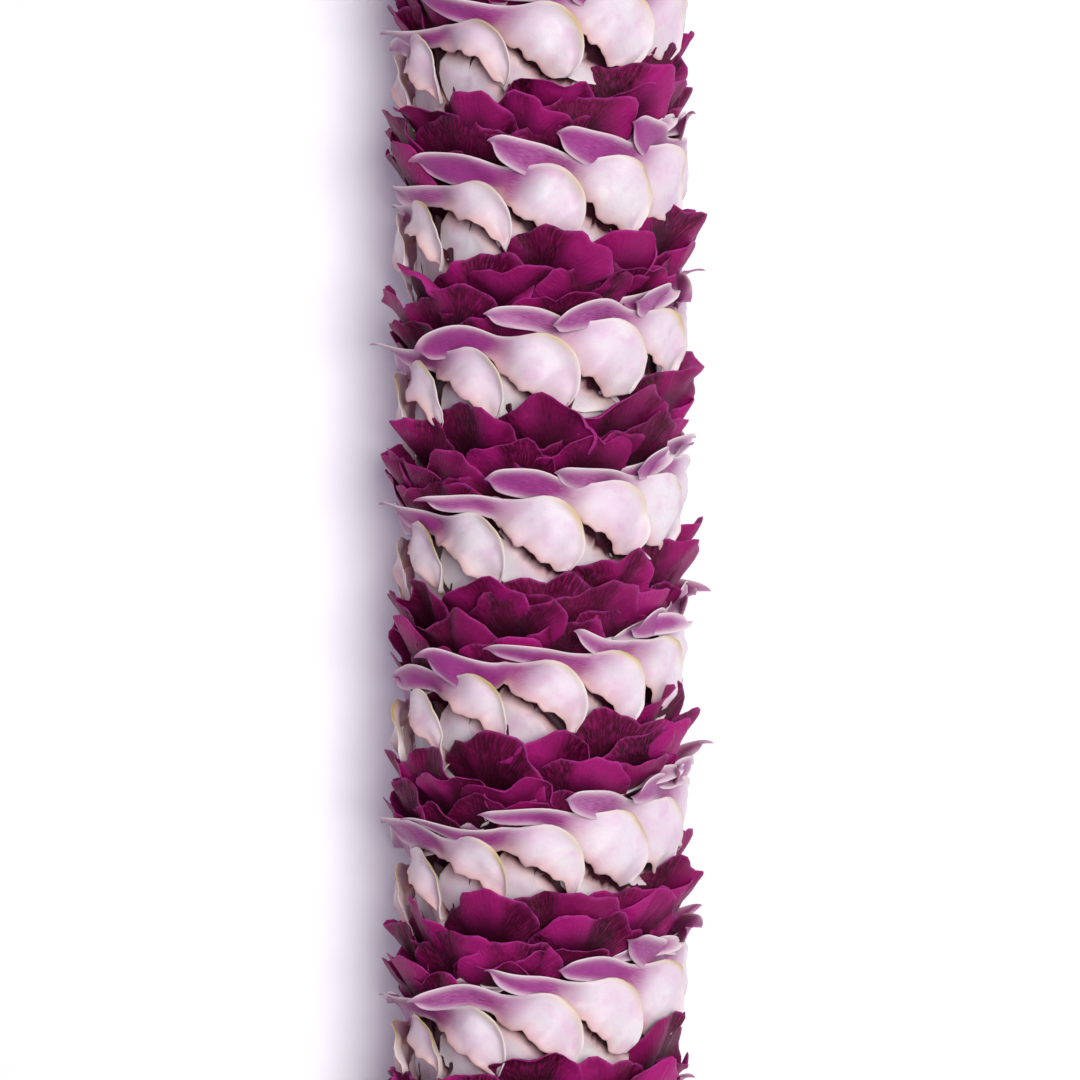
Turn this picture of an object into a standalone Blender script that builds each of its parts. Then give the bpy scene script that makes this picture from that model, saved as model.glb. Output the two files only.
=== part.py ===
"""Fresh flower lei: orchid blossoms sewn in one long spiral round a string that is tied in a loop.

Twelve blossoms make one turn of the spiral, and every blossom faces the way the spiral climbs.
A blossom's petals and its lip are sub-parts of their own, so each turn is two objects: a ring of
twelve spread petals, and a ring of twelve lips that rises out of it. The lei lies flat, and its
underside is pressed level where it rests.

Units are metres, +Z is up, and the origin is on the ground under the middle of the loop.
A place along the strand is given by a distance along the string, an angle round the string, counted
from straight up towards the outer side of the loop, and a distance out from the string.
"""
import math

import bmesh
import bpy
import numpy as np
from mathutils import Vector

# The spiral
TURNS = 28
BLOSSOMS_PER_TURN = 12
PITCH = 0.0324
FULL_TURN = 2 * math.pi

# The loop: two straight runs joined by two half-round bends
LOOP_LENGTH = TURNS * PITCH
STRAIGHT_RUN = 0.198
BEND_LENGTH = LOOP_LENGTH / 2 - STRAIGHT_RUN
EASED_SHARE = 0.1  # of a bend's length, at each end of it, where its curvature builds up
PATH_STEPS = 8192

# How it lies and what it is sewn on
AXIS_HEIGHT = 0.026
STRING_RADIUS = 0.00075
STRING_STEP = PITCH / 6
SEWN_GAP = 0.0003
SEAM_GAP = 0.0004

# A ring's section. Each point is how far it lies along the strand from the sewn base, and how far out
BASE = (0.0, STRING_RADIUS + SEWN_GAP)
THROAT_OUTSIDE = (0.009, 0.0210)
THROAT_INSIDE = (0.0110, 0.0200)
SHOULDER = (0.019, 0.0280)
PETAL_TIP = (0.026, 0.0312)
PETAL_NOTCH = (0.0215, 0.0290)
LIP_TIP = (0.026, 0.0300)
LIP_NOTCH = (0.0205, 0.0282)
LIP_LEAD = PITCH / 2  # how far the lips' edges lie ahead of the petals' edges
STATIONS_PER_BLOSSOM = 2


def clear_scene():
    """Removes whatever the scene holds."""
    for old in list(bpy.data.objects):
        bpy.data.objects.remove(old, do_unlink=True)


def string_path():
    """Distances along the closed string, with the x, y and heading of the string at each."""
    distance = np.linspace(0.0, LOOP_LENGTH, PATH_STEPS + 1)
    along_half = np.mod(distance + STRAIGHT_RUN / 2, LOOP_LENGTH / 2)
    into_bend = np.clip((along_half - STRAIGHT_RUN) / BEND_LENGTH, 0.0, 1.0)
    curvature = np.clip(np.minimum(into_bend, 1.0 - into_bend) / EASED_SHARE, 0.0, 1.0)
    step = LOOP_LENGTH / PATH_STEPS
    heading = summed(curvature, step)
    heading = math.pi / 2 + heading * FULL_TURN / heading[-1]
    x = summed(np.cos(heading), step)
    y = summed(np.sin(heading), step)
    return distance, x - (x.max() + x.min()) / 2, y - (y.max() + y.min()) / 2, heading


def summed(values, step):
    """The running integral of evenly spaced values."""
    return np.concatenate(([0.0], np.cumsum((values[1:] + values[:-1]) / 2) * step))


PATH = string_path()


def in_world(distance, angle, out):
    """The world place of a point of the strand. What would reach into the ground is pressed level."""
    along = distance % LOOP_LENGTH
    x, y, heading = (np.interp(along, PATH[0], column) for column in PATH[1:])
    sideways = out * math.sin(angle)
    height = max(AXIS_HEIGHT + out * math.cos(angle), 0.0)
    return Vector((x + sideways * math.sin(heading), y - sideways * math.cos(heading), height))


def material(name, colour, roughness):
    """A Principled material, none of which is metal here."""
    made = bpy.data.materials.new(name)
    made.use_nodes = True
    shader = made.node_tree.nodes["Principled BSDF"]
    shader.inputs["Base Color"].default_value = (*colour, 1.0)
    shader.inputs["Roughness"].default_value = roughness
    shader.inputs["Metallic"].default_value = 0.0
    return made


def add_object(name, data, look):
    """Links mesh or curve data to the scene under a name, in one material."""
    made = bpy.data.objects.new(name, data)
    made.data.materials.append(look)
    bpy.context.scene.collection.objects.link(made)
    return made


def ring_section(tip, notch, reach):
    """The section's points at one place round a ring: reach 1 is a blossom's middle, 0 a notch."""
    edge = tuple(low + (high - low) * reach for low, high in zip(notch, tip))
    return [BASE, THROAT_OUTSIDE, SHOULDER, edge, THROAT_INSIDE]


def close_end(mesh, row, last):
    """Closes a ring's first or last row with a fan from its last corner, so that two ends that meet
    across a seam are cut alike."""
    *others, hub = row
    for near, far in zip(others, others[1:]):
        mesh.faces.new((hub, far, near) if last else (hub, near, far))


def ring_of_blossoms(name, turn, tip, notch, lead, first_angle, look):
    """One turn of twelve lobes, from notch to notch, as one closed flared skirt round the string.

    lead is how far ahead of the petals' edges this ring's edges lie. The skirt's two ends stop half
    a seam short of the next turn's.
    """
    mesh = bmesh.new()
    stations = BLOSSOMS_PER_TURN * STATIONS_PER_BLOSSOM
    rows = []
    for station in range(stations + 1):
        turned = FULL_TURN * station / stations
        seam_side = {0: 1, stations: -1}.get(station, 0)
        row = []
        for along, out in ring_section(tip, notch, station % STATIONS_PER_BLOSSOM):
            angle = FULL_TURN * turn + first_angle + turned + seam_side * SEAM_GAP / 2 / out
            climb = PITCH * angle / FULL_TURN
            row.append(mesh.verts.new(in_world(climb + lead - tip[0] + along, angle, out)))
        rows.append(row)
    corners = len(rows[0])
    for row, following in zip(rows, rows[1:]):
        for corner in range(corners):
            after = (corner + 1) % corners
            mesh.faces.new((row[corner], following[corner], following[after], row[after]))
    close_end(mesh, rows[0], last=False)
    close_end(mesh, rows[-1], last=True)
    bmesh.ops.triangulate(mesh, faces=mesh.faces)
    data = bpy.data.meshes.new(name)
    mesh.to_mesh(data)
    mesh.free()
    add_object(name, data, look)
    data.shade_smooth()
    data.set_sharp_from_angle(angle=math.radians(50))


def string_loop(look):
    """The string: a thin round thread along the whole loop, its ends tied together."""
    curve = bpy.data.curves.new("string", "CURVE")
    curve.dimensions = "3D"
    curve.bevel_depth = STRING_RADIUS
    curve.bevel_resolution = 1
    spline = curve.splines.new("POLY")
    count = round(LOOP_LENGTH / STRING_STEP)
    spline.points.add(count - 1)
    for number, point in enumerate(spline.points):
        point.co = (*in_world(number * STRING_STEP, 0.0, 0.0), 1.0)
    spline.use_cyclic_u = True
    add_object("string", curve, look)


def build():
    """The whole lei."""
    clear_scene()
    petal_look = material("petal", (0.80, 0.68, 0.76), 0.5)
    lip_look = material("lip", (0.16, 0.008, 0.055), 0.7)
    thread_look = material("thread", (0.80, 0.77, 0.68), 0.8)
    half_blossom = FULL_TURN / BLOSSOMS_PER_TURN / 2
    underneath = FULL_TURN / 2
    for turn in range(TURNS):
        ring_of_blossoms(
            f"petals_turn_{turn + 1:02d}", turn, PETAL_TIP, PETAL_NOTCH, 0.0,
            underneath + half_blossom, petal_look,
        )
        ring_of_blossoms(
            f"lips_turn_{turn + 1:02d}", turn, LIP_TIP, LIP_NOTCH, LIP_LEAD,
            underneath, lip_look,
        )
    string_loop(thread_look)


build()
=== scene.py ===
"""Looks of the fresh flower lei: every blossom's petals and lip, their materials, the light and camera.

Each blossom is made in strand space and then laid along the looped string. A place there is
t, mm round the strand from the blossom's middle, s, mm along the strand from the blossom's top edge,
and r, mm out from the string. Arrays run over (blossom, along the petal, across the petal).
"""
import math

import bpy
import numpy as np
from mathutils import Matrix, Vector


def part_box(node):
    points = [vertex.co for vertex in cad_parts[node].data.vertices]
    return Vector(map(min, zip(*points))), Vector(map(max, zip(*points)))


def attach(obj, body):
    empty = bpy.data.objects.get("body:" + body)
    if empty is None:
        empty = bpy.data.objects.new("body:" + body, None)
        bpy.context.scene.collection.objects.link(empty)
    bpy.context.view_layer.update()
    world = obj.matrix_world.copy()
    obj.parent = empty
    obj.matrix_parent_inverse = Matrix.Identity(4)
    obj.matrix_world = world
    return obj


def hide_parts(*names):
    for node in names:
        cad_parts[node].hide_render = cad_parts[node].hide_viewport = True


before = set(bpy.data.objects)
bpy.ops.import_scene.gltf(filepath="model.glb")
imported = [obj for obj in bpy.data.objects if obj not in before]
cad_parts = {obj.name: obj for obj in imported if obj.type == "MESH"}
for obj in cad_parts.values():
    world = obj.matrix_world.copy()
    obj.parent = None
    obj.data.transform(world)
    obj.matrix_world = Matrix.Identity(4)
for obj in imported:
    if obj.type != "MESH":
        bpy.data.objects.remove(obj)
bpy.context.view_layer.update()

MM = 0.001
FULL_TURN = 2 * math.pi

# The spiral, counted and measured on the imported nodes
TURNS = sum(name.startswith("petals_turn_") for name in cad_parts)
BLOSSOMS_PER_TURN = 12
BLOSSOMS = TURNS * BLOSSOMS_PER_TURN
BLOSSOM_ANGLE = FULL_TURN / BLOSSOMS_PER_TURN
STRING_LOW, STRING_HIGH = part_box("string")
AXIS_HEIGHT = (STRING_LOW.z + STRING_HIGH.z) / 2
STRING_RADIUS = (STRING_HIGH.z - STRING_LOW.z) / 2
STRAND_RADIUS = 30.0  # mm, where lengths round the strand are counted
SNUG = 0.97  # how closely the blossoms lie to the string
PETAL_THIN = 0.3  # mm
LIP_THIN = 0.22  # mm

# The loop's shape as shares of the string's length. The string's own box gives its size
STRAIGHT_SHARE = 0.198 / 0.9072
EASED_SHARE = 0.1
PATH_STEPS = 8192
FIRST_BLOSSOM = 7  # the first blossom of turn 1, which starts underneath
FLOOR_CLEARANCE = 0.0004
FLOOR_SOFTNESS = 0.0012
LOWEST = 0.00005

# Colours, linear
WARM_WHITE, PINK_WHITE = (0.75, 0.69, 0.67), (0.71, 0.56, 0.61)
VEIN_PINK, BLUSH = (0.66, 0.38, 0.55), (0.70, 0.38, 0.55)
DEEP_MAUVE, PALE_MAUVE = (0.21, 0.012, 0.135), (0.36, 0.045, 0.25)
CREAM, GOLD, OLIVE = (0.80, 0.72, 0.64), (0.58, 0.43, 0.16), (0.42, 0.33, 0.08)
# Of the next pair, the second is painted shade: near-black maroon laid on the under sepals in the slits
# under the hoods' torn edges.
PEACH, SLIT_SHADE = (0.57, 0.28, 0.23), (0.05, 0.003, 0.014)
# The lips' dark maroons and bright magentas below are mixed by painted highlight and shade over their
# ruffles.
DARK_MAROON, MAROON = (0.030, 0.0012, 0.007), (0.105, 0.0025, 0.031)
MAGENTA, BRIGHT_MAGENTA = (0.22, 0.005, 0.083), (0.40, 0.009, 0.165)
# The first colour on the next line is painted shade: near-black for the lobes' lower parts that the
# layer in front overlaps.
LIP_PAINTED_SHADE, LIP_BACK, LIP_RIM = (0.016, 0.001, 0.004), (0.34, 0.020, 0.17), (0.42, 0.04, 0.25)

rng = np.random.default_rng(20)


def summed(values, step):
    """The running integral of evenly spaced values."""
    return np.concatenate(([0.0], np.cumsum((values[1:] + values[:-1]) / 2) * step))


def string_path():
    """Distance, x, y and heading along the closed string, whose box is the CAD string's box."""
    distance = np.linspace(0.0, 1.0, PATH_STEPS + 1)
    bend = 0.5 - STRAIGHT_SHARE
    along_half = np.mod(distance + STRAIGHT_SHARE / 2, 0.5)
    into_bend = np.clip((along_half - STRAIGHT_SHARE) / bend, 0.0, 1.0)
    curvature = np.clip(np.minimum(into_bend, 1.0 - into_bend) / EASED_SHARE, 0.0, 1.0)
    heading = summed(curvature, 1.0 / PATH_STEPS)
    heading = math.pi / 2 + heading * FULL_TURN / heading[-1]
    x = summed(np.cos(heading), 1.0 / PATH_STEPS)
    y = summed(np.sin(heading), 1.0 / PATH_STEPS)
    length = (STRING_HIGH.y - STRING_LOW.y - 2 * STRING_RADIUS) / (y.max() - y.min())
    middle_x, middle_y = (x.max() + x.min()) / 2, (y.max() + y.min()) / 2
    return distance * length, (x - middle_x) * length, (y - middle_y) * length, heading


PATH = string_path()
LOOP_LENGTH = PATH[0][-1]
PITCH = LOOP_LENGTH / TURNS
RUN_X = PATH[1].max()


def smooth(low, high, x):
    """0 below low, 1 above high, and an even curve between them."""
    part = np.clip((x - low) / (high - low), 0.0, 1.0)
    return part * part * (3 - 2 * part)


def through(places, values, x):
    """A smooth curve through values at places, read at x."""
    places, values = np.asarray(places, float), np.asarray(values, float)
    slopes = np.gradient(values, places)
    spot = np.clip(np.searchsorted(places, x, side="right") - 1, 0, len(places) - 2)
    width = places[spot + 1] - places[spot]
    part = np.clip((x - places[spot]) / width, 0.0, 1.0)
    start, end = values[spot], values[spot + 1]
    rise, fall = slopes[spot] * width, slopes[spot + 1] * width
    return (
        (2 * part**3 - 3 * part**2 + 1) * start + (part**3 - 2 * part**2 + part) * rise
        + (3 * part**2 - 2 * part**3) * end + (part**3 - part**2) * fall
    )


def vary(count, low, high):
    """One even random draw for each blossom."""
    return rng.uniform(low, high, (count, 1, 1))


def to_world(number, t, s, r):
    """World places, in metres, of strand places beside blossoms with these numbers."""
    own_angle = number * BLOSSOM_ANGLE
    angle = own_angle + t / STRAND_RADIUS
    along = np.mod(PITCH * own_angle / FULL_TURN + s * MM, LOOP_LENGTH)
    out = r * MM * SNUG
    down = np.maximum(-np.cos(angle), 1e-3)
    limit = (AXIS_HEIGHT - FLOOR_CLEARANCE) / down
    room = np.minimum((limit - out) / FLOOR_SOFTNESS, 60.0)
    pressed = limit - FLOOR_SOFTNESS * np.log1p(np.exp(room))
    out = np.where((np.cos(angle) < 0) & (room < 50.0), pressed, out)
    x, y, heading = (np.interp(along, PATH[0], column) for column in PATH[1:])
    sideways = out * np.sin(angle)
    height = AXIS_HEIGHT + out * np.cos(angle)
    return np.stack(
        (x + sideways * np.sin(heading), y - sideways * np.cos(heading), height), axis=-1
    )


class Sheets:
    """Closed thin petals, one for each blossom, all on the same grid."""

    def __init__(self, middle, thickness, look, uv):
        rows, columns = middle.shape[1:3]
        normal = np.cross(np.gradient(middle, axis=1), np.gradient(middle, axis=2))
        normal /= np.maximum(np.linalg.norm(normal, axis=-1, keepdims=True), 1e-12)
        half = np.broadcast_to(thickness, middle.shape[:3])[..., None] * MM / 2
        sides = np.stack((middle + normal * half, middle - normal * half), axis=1)
        sides[..., 2] = np.maximum(sides[..., 2], LOWEST)
        self.points = sides.reshape(len(middle), -1, 3)
        self.look = self.on_both_sides(look, middle)
        self.uv = self.on_both_sides(uv, middle)
        self.quads = self.grid_quads(rows, columns)
        self.side = np.repeat((0.0, 1.0), rows * columns)
        u, v = np.meshgrid(np.linspace(0.02, 0.98, columns), np.linspace(0.02, 0.98, rows))
        self.cell = np.tile(np.stack((u, v), axis=-1).reshape(-1, 2), (2, 1))

    @staticmethod
    def on_both_sides(channels, middle):
        """Channels over the grid, repeated for the sheets' two sides."""
        shape = middle.shape[:3]
        packed = np.stack([np.broadcast_to(channel, shape) for channel in channels], axis=-1)
        return np.stack((packed, packed), axis=1).reshape(len(middle), -1, len(channels))

    @staticmethod
    def grid_quads(rows, columns):
        """Faces of the two sides and of the edge strip between them."""
        index = np.arange(rows * columns).reshape(rows, columns)
        a, b = index[:-1, :-1].ravel(), index[1:, :-1].ravel()
        c, d = index[1:, 1:].ravel(), index[:-1, 1:].ravel()
        upper = np.stack((a, b, c, d), axis=1)
        below = rows * columns
        lower = np.stack((d, c, b, a), axis=1) + below
        rim = np.concatenate((index[:, 0], index[-1, 1:], index[-2::-1, -1], index[0, -2:0:-1]))
        following = np.roll(rim, -1)
        strip = np.stack((following, rim, rim + below, following + below), axis=1)
        return np.concatenate((upper, lower, strip))


def add_piece(name, sheets, blossoms, material, node):
    """One turn's petals of several kinds as one mesh that stands for a CAD node."""
    points, looks, uvs, faces, atlas, backs = [], [], [], [], [], []
    per_side = math.ceil(math.sqrt(2 * len(sheets) * len(blossoms)))
    corners, cell = 0, 0
    for kind in sheets:
        for blossom in blossoms:
            points.append(kind.points[blossom])
            looks.append(kind.look[blossom])
            uvs.append(kind.uv[blossom])
            backs.append(kind.side)
            faces.append(kind.quads + corners)
            place = cell + kind.side
            corner = np.stack((np.mod(place, per_side), np.floor(place / per_side)), axis=1)
            atlas.append((corner + kind.cell) / per_side)
            corners += len(kind.side)
            cell += 2
    points, faces = np.concatenate(points), np.concatenate(faces)
    mesh = bpy.data.meshes.new(name)
    mesh.vertices.add(len(points))
    mesh.vertices.foreach_set("co", points.astype(np.float32).ravel())
    mesh.loops.add(faces.size)
    mesh.loops.foreach_set("vertex_index", faces.ravel().astype(np.int32))
    mesh.polygons.add(len(faces))
    mesh.polygons.foreach_set("loop_start", np.arange(0, faces.size, 4, dtype=np.int32))
    mesh.update(calc_edges=True)
    mesh.polygons.foreach_set("use_smooth", np.ones(len(faces), bool))
    for layer, values in (("Petal", uvs), ("OFBake", atlas)):
        flat = np.concatenate(values)[faces.ravel()].astype(np.float32)
        mesh.uv_layers.new(name=layer).data.foreach_set("uv", flat.ravel())
    colour = mesh.attributes.new("look", "FLOAT_COLOR", "POINT")
    colour.data.foreach_set("color", np.concatenate(looks).astype(np.float32).ravel())
    back = mesh.attributes.new("back", "FLOAT", "POINT")
    back.data.foreach_set("value", np.concatenate(backs).astype(np.float32))
    mesh.materials.append(material)
    piece = bpy.data.objects.new(name, mesh)
    bpy.context.scene.collection.objects.link(piece)
    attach(piece, "root")
    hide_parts(node)
    return piece


def along(values):
    """Grid values along a petal."""
    return np.asarray(values, float)[None, :, None]


def across(values):
    """Grid values across a petal."""
    return np.asarray(values, float)[None, None, :]


def bunched(count, share):
    """Values from 0 to 1, closer together near both ends by that share."""
    even = np.linspace(0.0, 1.0, count)
    return even * (1 - share) + (1 - np.cos(math.pi * even)) / 2 * share


def ripples(x, count, waves, heights):
    """A sum of sine waves along x, each with its own random phase for every blossom."""
    total = 0.0
    for wave, height in zip(waves, heights):
        total = total + height * np.sin(x * wave * vary(count, 0.85, 1.15) + vary(count, 0, FULL_TURN))
    return total


def edge_on(distance, thin, bead=0.0, bead_width=0.4):
    """Thickness by distance from an edge, mm: rounded off at the edge, with a thicker bead by it."""
    rounded = np.sqrt(np.clip(distance / (0.25 + bead), 0.03, 1.0))
    return rounded * (thin + bead * np.exp(-(((distance - bead_width) / bead_width) ** 2)))


BAND_SLOPE = PITCH / MM / (FULL_TURN * STRAND_RADIUS)  # mm up for each mm round, along the spiral

# A hood's outlines, as t and s at even shares from its arm's tip
KNOTS = np.linspace(0.0, 1.0, 11)
RIM_T = (-28.4, -25.2, -20.6, -15.6, -10.2, -4.8, 1.2, 5.4, 8.2, 8.8, 7.0)
RIM_S = (-1.4, 0.2, 0.9, 0.9, 0.3, 0.1, 0.8, -1.0, -4.8, -9.6, -13.6)
OPEN_T = (-28.0, -26.2, -22.2, -17.8, -13.4, -10.2, -8.4, -6.9, -4.4, -0.8, 4.0)
OPEN_S = (-1.8, -2.8, -3.2, -3.5, -4.3, -6.1, -8.8, -11.0, -13.2, -14.7, -14.8)
TIGHT_T = (-28.0, -26.2, -22.2, -17.6, -12.8, -8.6, -4.4, -0.8, 2.2, 4.8, 7.0)
TIGHT_S = (-1.8, -2.8, -3.2, -3.4, -3.9, -4.7, -5.9, -7.2, -9.1, -11.5, -13.8)
HOOD_ROWS = 40
HOOD_COLUMNS = (0, 0.02, 0.06, 0.14, 0.28, 0.44, 0.60, 0.74, 0.84, 0.91, 0.945, 0.97, 0.988, 1)

# An under sepal's grid: it goes round from just past its top, and out from its middle
UNDER_START, UNDER_END, UNDER_ROWS = math.radians(80), math.radians(-260), 26
UNDER_COLUMNS = (0, 0.22, 0.42, 0.60, 0.74, 0.84, 0.905, 0.945, 0.975, 0.99, 1)
UNDER_MIDDLE = (-1.6, -9.2)  # t and s

# A side petal's grid
SIDE_ROWS, SIDE_COLUMNS = 22, 9

# A base's s, r and width at shares from the string
BASE_KNOTS = (0.0, 0.12, 0.24, 0.36, 0.46, 0.56, 0.7, 0.85, 1.0)
BASE_S = (-36.0, -33.0, -29.5, -25.5, -22.0, -18.8, -14.0, -9.0, -4.0)
BASE_R = (1.6, 8.0, 14.5, 20.0, 22.6, 24.0, 23.0, 21.6, 20.6)
BASE_SHARE = (0.05, 0.2, 0.4, 0.65, 0.9, 1.0, 1.0, 0.95, 0.85)
BASE_WIDTH = 21.0
BASE_ROWS, BASE_COLUMNS = 15, 12

# The lips' layers, back to front: top edge's s and r, shift round, reach, slope in, lean on the next
LIP_LAYERS = (
    (20.4, 31.2, 0.0, 14.0, 0.42, 0.12),
    (14.8, 31.6, 7.8, 12.5, 0.52, 0.10),
    (9.6, 30.2, 3.0, 11.0, 0.60, 0.05),
)
LIP_ROWS = (0, 0.14, 0.27, 0.38, 0.49, 0.59, 0.68, 0.75, 0.81, 0.86, 0.91, 0.95, 0.98, 1)
LIP_COLUMNS = 31
CLAW = 0.27  # the share of a lobe's rows that its narrow claw takes
OUTLINE_POWER = 2.7
ROOF_SOFTNESS = 1.4  # mm


def torn_edge(a, rolled):
    """The hood's lower edge at shares a from the arm's tip, for bowls that are rolled up that far."""
    open_t, open_s = through(KNOTS, OPEN_T, a), through(KNOTS, OPEN_S, a)
    tight_t, tight_s = through(KNOTS, TIGHT_T, a), through(KNOTS, TIGHT_S, a)
    return open_t + (tight_t - open_t) * rolled, open_s + (tight_s - open_s) * rolled


def hoods(number, rolled):
    """Each blossom's upper sepal: a slender mauve arm that widens into a bowl with a cream rim."""
    count = len(number)
    a = along(bunched(HOOD_ROWS, 0.45))
    b = across(HOOD_COLUMNS)
    rim_t, rim_s = through(KNOTS, RIM_T, a), through(KNOTS, RIM_S, a)
    torn = smooth(0.38, 0.5, a) * smooth(1.0, 0.9, a)
    tear = torn * ripples(a, count, (17, 33, 61), (0.5, 0.45, 0.3))
    inner_t, inner_s = torn_edge(a, rolled)
    inner_t, inner_s = inner_t + 0.4 * tear, inner_s + 0.8 * tear
    tip_round = np.sqrt(1 - np.clip(1 - a / 0.11, 0, 1) ** 2)
    rounded = tip_round * np.sqrt(1 - np.clip(1 - (1 - a) / 0.05, 0, 1) ** 2)
    rounded = rounded * (1 + vary(count, -0.3, 0.75) * smooth(0.46, 0.24, a))
    t = (rim_t + inner_t) / 2 + (rim_t - inner_t) * (b - 0.5) * rounded
    s = (rim_s + inner_s) / 2 + (rim_s - inner_s) * (b - 0.5) * rounded
    wide = np.hypot(rim_t - inner_t, rim_s - inner_s) * rounded
    # The arm's own bends and length
    arm = smooth(0.46, 0.0, a)
    left = np.minimum(t + 9.0, 0.0)
    s = s + left * vary(count, -0.13, 0.07)
    s = s + vary(count, -1.5, 1.5) * np.sin(left * vary(count, 0.16, 0.28))
    s = s + vary(count, -0.5, 4.0) * arm**4
    t = t + left * vary(count, -0.14, 0.06)
    # Out from the string
    bowl = np.exp(-(((t + 0.2) / 7.2) ** 2) - ((s + 7.6) / 7.6) ** 2) * vary(count, 2.0, 3.2)
    shelf = 0.13 * np.maximum(t, -10.0)
    lifted = 1.8 * smooth(0.46, 0.2, a) + vary(count, 0.2, 1.6) * arm
    lifted = lifted + vary(count, 0.4, 4.4) * arm**3
    twist = (b - 0.5) * arm**0.6 * (2.2 + ripples(a, count, (6,), (2.2,)))
    twist = twist - 0.7 * np.sin(math.pi * b) * arm**0.5
    curl = vary(count, 0.2, 1.9) * smooth(0.70, 1.0, b) ** 2 * smooth(0.5, 0.7, a)
    torn_lift = vary(count, 0.3, 1.3) * smooth(0.3, 0.0, b) * torn
    soft = 0.45 * np.sin(t * 0.55 + vary(count, 0, 6)) * np.sin(s * 0.6 + vary(count, 0, 6))
    soft = soft + 0.2 * np.sin(t * 1.3 + vary(count, 0, 6)) * np.sin(s * 1.5 + vary(count, 0, 6))
    r = 27.4 + bowl + shelf + lifted + twist + curl + torn_lift + soft * smooth(0.4, 0.6, a)
    r = r + 0.14 * (s + 6.0) - 0.2 * np.maximum(-11.0 - s, 0.0)
    r = r + 0.25 * ripples(a + 0.3 * b, count, (21,), (1.0,))
    t, s = t + vary(count, -0.9, 0.9), s + vary(count, -0.8, 0.8)
    middle = to_world(number, t, s, r)
    from_rim, from_torn = (1 - b) * wide, b * wide
    bead = 0.55 * smooth(0.45, 0.65, a)
    thickness = np.minimum(edge_on(from_rim, PETAL_THIN, bead), edge_on(from_torn, PETAL_THIN))
    fade = vary(count, -0.06, 0.08)
    mauve = smooth(0.64 + fade, 0.37 + fade, a) * vary(count, 0.95, 1.3)
    mauve = mauve * (0.66 + 0.34 * smooth(0.1, 1.5, np.minimum(from_rim, from_torn)))
    margin = np.exp(-np.minimum(from_rim, from_torn + 0.25) / 0.45) * smooth(0.03, 0.1, a)
    rim = np.exp(-((from_rim / 0.9) ** 2)) * smooth(0.42, 0.62, a)
    green_place = np.exp(-(((a - vary(count, 0.66, 0.76)) / 0.11) ** 2))
    green = np.exp(-((from_rim / 0.85) ** 2)) * green_place * vary(count, 0.5, 1.4)
    peach = np.exp(-from_torn / 1.8) * torn
    look = (mauve, np.maximum(margin, rim * 0.8), green, peach)
    return Sheets(middle, thickness, look, (a * 4, b))


def unders(number, rolled):
    """Each blossom's lower sepal: it dips under the hood's torn edge, painted near-black there as
    shade, and curls up at its rim.
    """
    count = len(number)
    turned = along(np.linspace(UNDER_START, UNDER_END, UNDER_ROWS))
    part = across(UNDER_COLUMNS)
    down = smooth(0.2, -0.6, np.sin(turned))
    side = np.abs(np.cos(turned)) ** 1.5
    reach = 7.0 + 1.5 * down + 3.0 * side * (1 - 0.2 * (np.cos(turned) > 0))
    reach = reach + 0.4 * ripples(turned, count, (2.0, 5.0), (0.9, 0.7)) * down
    t = UNDER_MIDDLE[0] + reach * part * np.cos(turned)
    s = UNDER_MIDDLE[1] + reach * part * np.sin(turned)
    edge_t, edge_s = torn_edge(np.linspace(0.42, 0.98, 15)[None, None, None, :], rolled[..., None])
    far_t, far_s = t[..., None] - edge_t, s[..., None] - edge_s
    nearest = np.argmin(far_t**2 + far_s**2, axis=-1)[..., None]
    near_t, near_s = (np.take_along_axis(far, nearest, axis=-1)[..., 0] for far in (far_t, far_s))
    below = np.sign(-0.6 * near_t - 0.8 * near_s) * np.hypot(near_t, near_s)
    dip = smooth(2.8, -0.5, below)
    height = vary(count, 0.3, 1.4) * down * (1 - 0.7 * rolled)
    r = 27.2 + 0.09 * t + 0.09 * (s + 6.0) - 2.4 * dip + (height + 0.9 * down) * part**4
    r = r + 0.3 * ripples(turned + part, count, (5.0,), (1.0,)) * part
    r = r - 0.25 * np.maximum(-10.0 - s, 0.0)
    middle = to_world(number, t + vary(count, -0.5, 0.5), s + vary(count, -0.5, 0.5), r)
    from_rim = (1 - part) * reach
    ends = np.minimum(turned - turned.min(), turned.max() - turned) * 8.0
    thickness = np.minimum(edge_on(from_rim, PETAL_THIN, 0.4), edge_on(ends, PETAL_THIN))
    rim = np.exp(-((from_rim / 0.8) ** 2))
    # Painted shade: near-black where the sepal dips under the hood's torn edge.
    slit_shade = smooth(1.5, 0.0, below)
    peach = smooth(4.0, 1.0, below) * 0.8
    return Sheets(middle, thickness, (-slit_shade, rim, 0 * rim, peach), (turned, part))


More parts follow.
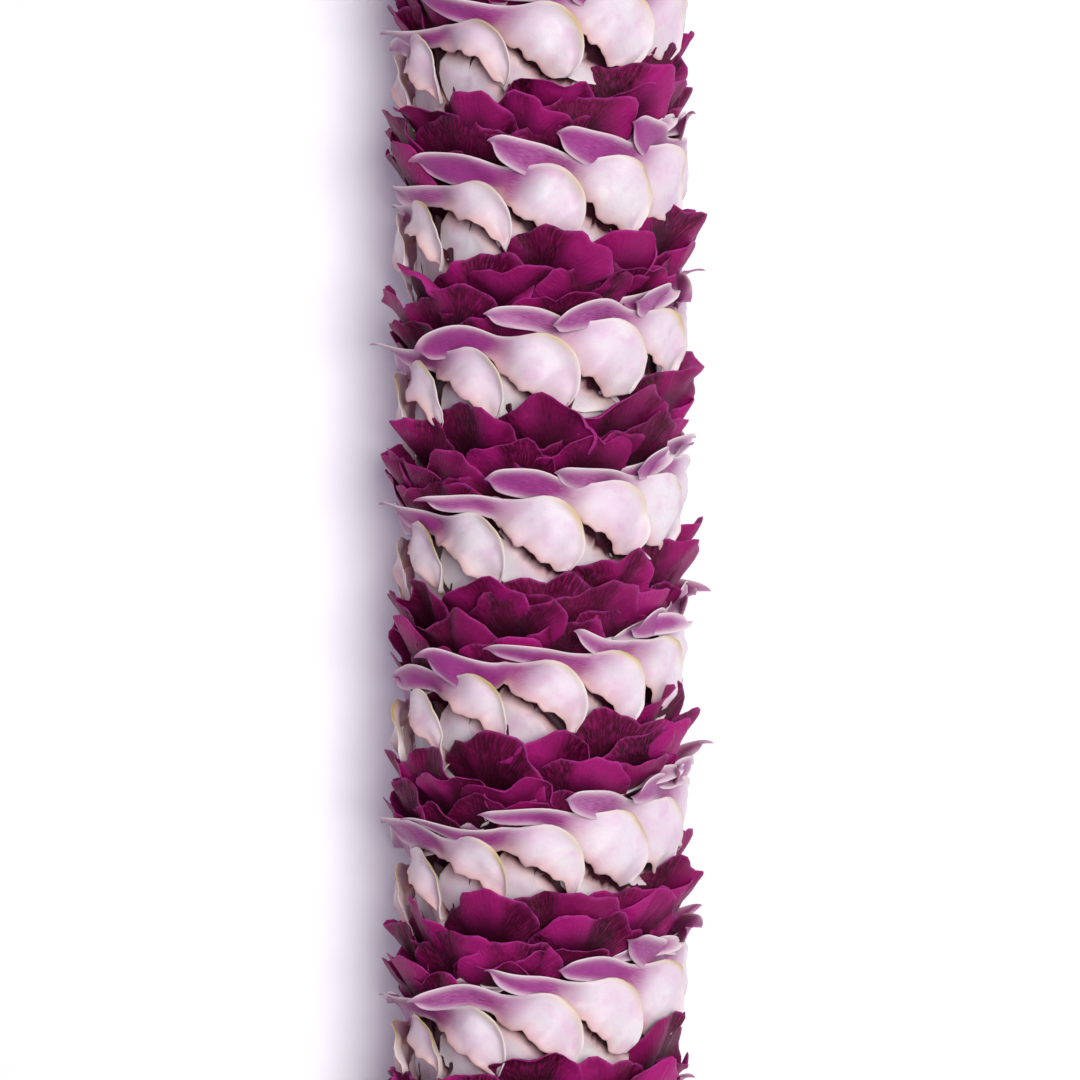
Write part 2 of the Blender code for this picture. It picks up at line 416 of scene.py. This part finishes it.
def side_petals(number):
    """Each blossom's slender mauve side petal, which points on round the strand and lifts its tip."""
    count = len(number)
    a = along(bunched(SIDE_ROWS, 0.5))
    b = across(bunched(SIDE_COLUMNS, 0.5))
    length = vary(count, 17.0, 24.0)
    outline = np.clip(4.0 * a * (1 - a), 1e-4, 1) ** 0.42
    wide = vary(count, 3.4, 5.4) * outline * (0.7 + 0.5 * a)
    t = 1.0 + a * length + 0.4 * ripples(b, count, (5.0,), (1.0,)) * a
    bend = vary(count, -1.6, 1.6) * np.sin(a * math.pi * vary(count, 0.7, 1.4))
    s = BAND_SLOPE * t + vary(count, 1.4, 4.0) + bend + vary(count, -1.0, 2.2) * a**2
    s = s + (b - 0.5) * wide
    hollow = 0.6 * np.sin(math.pi * b) + (b - 0.5) * ripples(a, count, (5.0,), (1.3,))
    outer = smooth(-0.1, 0.6, np.sin(number * BLOSSOM_ANGLE))
    r = 25.6 + 1.7 * outer + vary(count, 2.6, 5.6) * a**1.8 * (0.05 + 0.95 * outer)
    r = r - hollow + 0.2 * ripples(a + 0.3 * b, count, (14.0,), (1.0,))
    middle = to_world(number, t, s, r)
    edge = np.minimum(np.minimum(b, 1 - b) * wide, np.minimum(a, 1 - a) * length)
    mauve = smooth(-0.1, 0.3, a) * (0.5 + 0.5 * smooth(1.0, 0.7, a)) * vary(count, 0.9, 1.25)
    mauve = mauve * (0.66 + 0.34 * smooth(0.1, 1.5, edge))
    margin = np.exp(-edge / 0.45)
    thickness = edge_on(edge, PETAL_THIN)
    return Sheets(middle, thickness, (mauve, margin, 0 * edge, 0 * edge), (a * 3, b))


def bases(number):
    """Each blossom's broad pale base, from the string out to under its hood and the one beside it."""
    count = len(number)
    b = along(np.linspace(0.0, 1.0, BASE_ROWS))
    a = across(bunched(BASE_COLUMNS, 0.5))
    s, r = through(BASE_KNOTS, BASE_S, b), through(BASE_KNOTS, BASE_R, b)
    width = through(BASE_KNOTS, BASE_SHARE, b)
    t = (-2.5 + (a - 0.5) * BASE_WIDTH) * width
    s = s + (1.2 * (a - 0.5) + 0.5 * ripples(a, count, (5.0,), (1.0,))) * width
    shown = smooth(0.3, 0.55, b)
    turned_up = vary(count, 0.4, 1.6) * smooth(0.25, 0.0, a)
    r = r + shown * (0.10 * t + turned_up + 0.4 * ripples(a + b, count, (5,), (1.0,)))
    middle = to_world(number, t, s, r)
    edge = np.minimum(np.minimum(a, 1 - a) * BASE_WIDTH * width, (1 - b) * 30.0)
    thickness = edge_on(edge, 0.32) + 0 * b
    margin = np.exp(-edge / 0.6)
    shade = smooth(0.6, 0.95, b) + 0 * a
    return Sheets(middle, thickness, (0 * edge, margin, 0 * edge, 0.35 * shade), (b * 3, a))


def lips(number, top_s, top_r, shift, reach, slope, shingle):
    """A layer of the lips' broad ruffled lobes: each fans out from a claw sewn to the string."""
    count = len(number)
    b = along(LIP_ROWS)
    a = across(1 - 2 * bunched(LIP_COLUMNS, 0.3))
    reach = reach * vary(count, 0.85, 1.15)
    fan = np.clip((b - CLAW) / (1 - CLAW), 0.0, 1.0)
    bumps = np.abs(np.cos(a * vary(count, 2.4, 4.6) + vary(count, 0, FULL_TURN))) - 0.64
    nicks = 0.03 * ripples(a, count, (9.0, 19.0), (0.9, 0.9))
    scallops = 1 + (0.11 * bumps + nicks) * smooth(0.4, 1.0, fan)
    turned = a * 1.5 * (0.25 + 0.75 * smooth(0.0, 0.3, fan))
    wide = vary(count, 12.0, 16.5)
    sideways, forward = np.abs(np.sin(turned)) / wide, np.cos(turned) / reach
    square = sideways**OUTLINE_POWER + forward**OUTLINE_POWER
    far = fan * scallops * square ** (-1 / OUTLINE_POWER)
    swing = vary(count, -0.18, 0.18)
    t = far * np.sin(turned + swing) + 0.6 * a * (1 - fan)
    s = top_s - reach + far * np.cos(turned + swing)
    leaning = vary(count, -0.05, 0.05) + BAND_SLOPE
    claw = np.clip(b / CLAW, 0.0, 1.0)
    s = s - (1 - claw) * (33.0 - reach * 0.9) * 0.42
    slope = slope * vary(count, 0.85, 1.15)
    steep = top_r - slope * (top_s - s) - 0.012 * (top_s - s) ** 2
    at_base = top_r - slope * reach - 0.012 * reach**2
    sewn = 1.6 + (at_base - 1.6) * claw**0.8
    r = np.where(b < CLAW, sewn, steep)
    s = s + leaning * t * fan
    grown = smooth(0.15, 1.0, fan) ** 1.2
    waves = vary(count, 0.8, 1.25)
    ruffle = ripples(a * waves, count, (3.0, 5.6, 13.0), (1.25, 1.05, 0.4))
    covered = smooth(0.1, -0.9, a)
    outer = smooth(0.3, 0.95, np.sin(number * BLOSSOM_ANGLE))
    cocked = shingle + smooth(0.7, 1.0, vary(count, 0, 1)) * vary(count, -0.1, 0.5)
    cocked = cocked + 0.26 * outer
    frill = ripples(a, count, (10.0, 21.0), (0.6, 0.5)) * smooth(0.6, 1.0, fan) ** 2
    crinkled = grown * ruffle * vary(count, 0.8, 1.5) + frill
    r = r + crinkled * (1 - 0.65 * covered)
    r = r + cocked * t * fan - (1.3 * covered + 2.2 * outer) * fan
    # Some edges curl right over and show their backs
    curled = smooth(0.45, 0.65, vary(count, 0, 1)) * vary(count, 0.2, 0.46)
    window = smooth(-0.3, 0.7, np.sin(a * 1.8 + vary(count, 0, FULL_TURN)))
    bent = np.maximum(curled * window * (1 - covered), 0.001)
    past = np.maximum(fan - vary(count, 0.6, 0.74), 0.0) * reach
    back_by, up_by = past - np.sin(bent * past) / bent, (1 - np.cos(bent * past)) / bent
    r = r + 0.9 * up_by - 0.4 * back_by
    s = s - (0.9 * back_by + 0.4 * up_by) * np.cos(turned)
    t = t - (0.9 * back_by + 0.4 * up_by) * np.sin(turned)
    s = s + grown * ripples(a * waves, count, (5.0, 11.0), (0.4, 0.25))
    t = t + grown * ripples(a + b, count, (4.0, 9.0), (0.4, 0.2))
    t, s = t + shift + vary(count, -2.2, 2.2), s + vary(count, -3.2, 2.0)
    r = r + vary(count, -0.4, 0.9)
    # Held under the next turn's arms, each lobe in its own order
    roof = 27.6 + 0.55 * (s - BAND_SLOPE * t - 2.0) - vary(count, 0.0, 0.6)
    room = np.minimum((roof - r) / ROOF_SOFTNESS, 60.0)
    r = roof - ROOF_SOFTNESS * np.log1p(np.exp(room))
    middle = to_world(number, t, s, r)
    from_edge = np.minimum((1 - fan) * reach, (1 - np.abs(a)) * 1.5 * np.maximum(far, 0.4))
    thickness = edge_on(from_edge, LIP_THIN) + 0 * b
    rim = np.exp(-((from_edge / 0.3) ** 2))
    # Painted shade: darker low in each lobe, where the layer in front overlaps it.
    painted_lobe_shade = 1 - smooth(0.35, 0.95, fan)
    # Painted highlight and shade: lighter on the ruffles' crests and frills and on the strand's outer
    # flank, darker in the folds.
    painted_crest_light = 0.42 + 0.5 * ruffle * (0.35 + 0.65 * grown) + 0.3 * frill + 0.22 * outer
    painted_crest_light = np.clip(painted_crest_light, 0, 1)
    return Sheets(middle, thickness, (rim, painted_lobe_shade, painted_crest_light, vary(count, 0, 1)), (fan * 2 + 0 * b, a))


def new_material(name, roughness):
    """A Principled material of that roughness."""
    made = bpy.data.materials.new(name)
    made.use_nodes = True
    made.node_tree.nodes["Principled BSDF"].inputs["Roughness"].default_value = roughness
    return made


def mix(tree, factor, first, second):
    """The socket of a colour mix of two sockets or plain colours."""
    node = tree.nodes.new("ShaderNodeMix")
    node.data_type = "RGBA"
    for place, value in ((0, factor), (6, first), (7, second)):
        if isinstance(value, tuple):
            node.inputs[place].default_value = (*value, 1.0)
        elif isinstance(value, float):
            node.inputs[place].default_value = value
        else:
            tree.links.new(value, node.inputs[place])
    return node.outputs[2]


def maths(tree, operation, first, second=0.0, clamp=False):
    """The socket of an operation on two sockets or numbers."""
    node = tree.nodes.new("ShaderNodeMath")
    node.operation = operation
    node.use_clamp = clamp
    for place, value in enumerate((first, second)):
        if isinstance(value, (int, float)):
            node.inputs[place].default_value = value
        else:
            tree.links.new(value, node.inputs[place])
    return node.outputs[0]


def noise(tree, vector, scale, detail=3.0, stretch=None):
    """The value socket of a noise over a vector socket."""
    if stretch is not None:
        mapping = tree.nodes.new("ShaderNodeMapping")
        mapping.inputs["Scale"].default_value = stretch
        tree.links.new(vector, mapping.inputs["Vector"])
        vector = mapping.outputs[0]
    node = tree.nodes.new("ShaderNodeTexNoise")
    node.inputs["Scale"].default_value = scale
    node.inputs["Detail"].default_value = detail
    tree.links.new(vector, node.inputs["Vector"])
    return node.outputs["Fac"]


def ranged(tree, value, low, high, to_low=0.0, to_high=1.0):
    """A value socket stretched from one range to another, and held inside it."""
    node = tree.nodes.new("ShaderNodeMapRange")
    tree.links.new(value, node.inputs["Value"])
    sockets = ("From Min", "From Max", "To Min", "To Max")
    for socket, number in zip(sockets, (low, high, to_low, to_high)):
        node.inputs[socket].default_value = number
    return node.outputs[0]


def look_channels(tree):
    """The petal's painted channels, colour marks and painted light and shade alike, its UV and its
    place.
    """
    attribute = tree.nodes.new("ShaderNodeAttribute")
    attribute.attribute_name = "look"
    split = tree.nodes.new("ShaderNodeSeparateColor")
    tree.links.new(attribute.outputs["Color"], split.inputs[0])
    uv = tree.nodes.new("ShaderNodeUVMap")
    uv.uv_map = "Petal"
    place = tree.nodes.new("ShaderNodeTexCoord")
    return (*split.outputs, attribute.outputs["Alpha"], uv.outputs[0], place.outputs["Object"])


def bump(tree, shader, height, strength, distance):
    """Fine relief on the shader's surface."""
    node = tree.nodes.new("ShaderNodeBump")
    node.inputs["Strength"].default_value = strength
    node.inputs["Distance"].default_value = distance
    tree.links.new(height, node.inputs["Height"])
    tree.links.new(node.outputs[0], shader.inputs["Normal"])


def petal_material():
    """Satin pinkish white, mauve towards the tips, with cream margins and yellow-green rims, and
    painted near-black shade in the slits under the hoods.
    """
    made = new_material("petal", 0.46)
    tree = made.node_tree
    shader = tree.nodes["Principled BSDF"]
    mauve, margin, green, peach, uv, place = look_channels(tree)
    cloud = noise(tree, place, 110.0)
    veins = noise(tree, uv, 3.0, 4.0, (2.0, 22.0, 1.0))
    white = mix(tree, ranged(tree, cloud, 0.35, 0.65), WARM_WHITE, PINK_WHITE)
    white = mix(tree, ranged(tree, veins, 0.5, 0.8, 0.0, 0.5), white, VEIN_PINK)
    blush = noise(tree, place, 260.0, 2.0)
    white = mix(tree, ranged(tree, blush, 0.52, 0.75, 0.0, 0.5), white, BLUSH)
    tint = mix(tree, ranged(tree, veins, 0.3, 0.7), DEEP_MAUVE, PALE_MAUVE)
    streaked = maths(tree, "MULTIPLY", mauve, ranged(tree, veins, 0.2, 0.75, 1.15, 0.75), True)
    colour = mix(tree, streaked, white, tint)
    colour = mix(tree, maths(tree, "MULTIPLY", margin, 0.85, True), colour, CREAM)
    gold = mix(tree, ranged(tree, cloud, 0.4, 0.65), GOLD, OLIVE)
    colour = mix(tree, maths(tree, "MULTIPLY", green, 0.9, True), colour, gold)
    # The fourth channel lays peach by the torn edges and slits, and painted shade on the bases' ends
    # under the hoods.
    colour = mix(tree, maths(tree, "MULTIPLY", peach, 0.8, True), colour, PEACH)
    # Painted shade in the slits: the under sepals' negative first channel lays near-black maroon where
    # they dip under the hoods' torn edges.
    colour = mix(tree, ranged(tree, mauve, 0.0, -0.7), colour, SLIT_SHADE)
    tree.links.new(colour, shader.inputs["Base Color"])
    shader.inputs["Subsurface Weight"].default_value = 0.25
    shader.inputs["Subsurface Radius"].default_value = (1.0, 0.5, 0.6)
    shader.inputs["Subsurface Scale"].default_value = 0.0015
    shader.inputs["Sheen Weight"].default_value = 0.05
    shader.inputs["Specular IOR Level"].default_value = 0.35
    bump(tree, shader, maths(tree, "ADD", veins, cloud), 0.14, 0.0002)
    return made


def lip_material():
    """Velvety dark maroon-magenta with fine veins and lighter edges, with painted highlights on the
    ruffles' crests and painted shade low in each lobe.
    """
    made = new_material("lip", 0.5)
    tree = made.node_tree
    shader = tree.nodes["Principled BSDF"]
    rim, painted_lobe_shade, painted_crest_light, tone, uv, place = look_channels(tree)
    cloud = noise(tree, place, 160.0, 5.0)
    crinkle = noise(tree, place, 420.0, 4.0)
    veins = noise(tree, uv, 3.0, 6.0, (1.3, 13.0, 1.0))
    dark = mix(tree, ranged(tree, cloud, 0.35, 0.65), DARK_MAROON, MAROON)
    bright = mix(tree, tone, MAGENTA, BRIGHT_MAGENTA)
    # Painted highlight and shade: bright magenta on the ruffles' crests and the outer flank, dark
    # maroon in the folds.
    colour = mix(tree, ranged(tree, painted_crest_light, 0.3, 0.95, 0.0, 0.85), dark, bright)
    colour = mix(tree, ranged(tree, veins, 0.46, 0.68, 0.0, 0.55), colour, bright)
    # Painted shade: near-black low in each lobe, where the layer in front overlaps it.
    colour = mix(tree, ranged(tree, painted_lobe_shade, 0.1, 1.0, 0.0, 0.9), colour, LIP_PAINTED_SHADE)
    back = tree.nodes.new("ShaderNodeAttribute")
    back.attribute_name = "back"
    colour = mix(tree, maths(tree, "MULTIPLY", back.outputs["Fac"], 0.75), colour, LIP_BACK)
    edge = maths(tree, "MULTIPLY", rim, ranged(tree, crinkle, 0.35, 0.65, 0.1, 0.8))
    colour = mix(tree, edge, colour, LIP_RIM)
    tree.links.new(colour, shader.inputs["Base Color"])
    shader.inputs["Subsurface Weight"].default_value = 0.1
    shader.inputs["Subsurface Radius"].default_value = (1.0, 0.15, 0.4)
    shader.inputs["Subsurface Scale"].default_value = 0.0015
    shader.inputs["Sheen Weight"].default_value = 0.04
    shader.inputs["Sheen Roughness"].default_value = 0.4
    shader.inputs["Sheen Tint"].default_value = (0.9, 0.2, 0.5, 1.0)
    shader.inputs["Specular IOR Level"].default_value = 0.12
    relief = maths(tree, "ADD", maths(tree, "ADD", veins, crinkle), cloud)
    bump(tree, shader, relief, 0.6, 0.0006)
    return made


def thread_material():
    """Twisted cotton thread."""
    made = new_material("thread", 0.85)
    tree = made.node_tree
    shader = tree.nodes["Principled BSDF"]
    place = tree.nodes.new("ShaderNodeTexCoord").outputs["Object"]
    fibre = noise(tree, place, 2500.0, 3.0)
    colour = mix(tree, fibre, (0.62, 0.58, 0.48), (0.82, 0.80, 0.72))
    tree.links.new(colour, shader.inputs["Base Color"])
    bump(tree, shader, fibre, 0.5, 0.0002)
    return made


def floor_material():
    """A plain, very pale matt surface."""
    made = new_material("floor", 0.9)
    tree = made.node_tree
    shader = tree.nodes["Principled BSDF"]
    place = tree.nodes.new("ShaderNodeTexCoord").outputs["Object"]
    colour = mix(tree, noise(tree, place, 4.0), (0.93, 0.93, 0.935), (0.94, 0.94, 0.945))
    tree.links.new(colour, shader.inputs["Base Color"])
    shader.inputs["Specular IOR Level"].default_value = 0.0
    return made


def make_floor():
    """A plain pale floor under the lei."""
    mesh = bpy.data.meshes.new("floor")
    reach, level = 6.0, -0.0002
    corners = [(x * reach, y * reach, level) for x, y in ((-1, -1), (1, -1), (1, 1), (-1, 1))]
    mesh.from_pydata(corners, [], [(0, 1, 2, 3)])
    mesh.materials.append(floor_material())
    floor = bpy.data.objects.new("floor", mesh)
    bpy.context.scene.collection.objects.link(floor)


def make_light():
    """A soft key from the right and a pale room all round."""
    sun = bpy.data.lights.new("key", "SUN")
    sun.energy = 2.7
    sun.angle = math.radians(28)
    key = bpy.data.objects.new("key", sun)
    key.rotation_euler = (math.radians(-6), math.radians(15), 0.0)
    bpy.context.scene.collection.objects.link(key)
    world = bpy.data.worlds.new("room")
    world.use_nodes = True
    world.node_tree.nodes["Background"].inputs["Color"].default_value = (0.82, 0.74, 1.0, 1.0)
    world.node_tree.nodes["Background"].inputs["Strength"].default_value = 0.56
    bpy.context.scene.world = world
    bpy.context.scene.view_settings.view_transform = "Standard"


def make_camera():
    """Straight above the right-hand run, from far enough to see it nearly without perspective."""
    lens, frame_width, sharp_height = 200.0, 0.216, 0.035
    data = bpy.data.cameras.new("camera")
    data.lens = lens
    camera = bpy.data.objects.new("camera", data)
    distance = frame_width * lens / data.sensor_width
    camera.location = (RUN_X - 0.0002, -0.008, sharp_height + distance)
    bpy.context.scene.collection.objects.link(camera)
    bpy.context.scene.camera = camera


def make_lei():
    """All the turns, each as a piece of petals and a piece of lips."""
    number = (FIRST_BLOSSOM + np.arange(BLOSSOMS)).reshape(-1, 1, 1)
    rolled = 0.65 - 0.5 * np.sin(number * BLOSSOM_ANGLE) + vary(BLOSSOMS, -0.3, 0.3)
    rolled = np.clip(rolled, 0.0, 1.15)
    petal_kinds = [hoods(number, rolled), unders(number, rolled), bases(number)]
    lip_kinds = [lips(number, *layer) for layer in LIP_LAYERS]
    petal_kinds.append(side_petals(number))
    petal, lip = petal_material(), lip_material()
    for turn in range(TURNS):
        blossoms = range(turn * BLOSSOMS_PER_TURN, (turn + 1) * BLOSSOMS_PER_TURN)
        name = f"turn_{turn + 1:02d}"
        add_piece(f"petals_of_{name}", petal_kinds, blossoms, petal, f"petals_{name}")
        add_piece(f"lips_of_{name}", lip_kinds, blossoms, lip, f"lips_{name}")
    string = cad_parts["string"]
    string.data.materials.clear()
    string.data.materials.append(thread_material())


make_lei()
make_floor()
make_light()
make_camera()
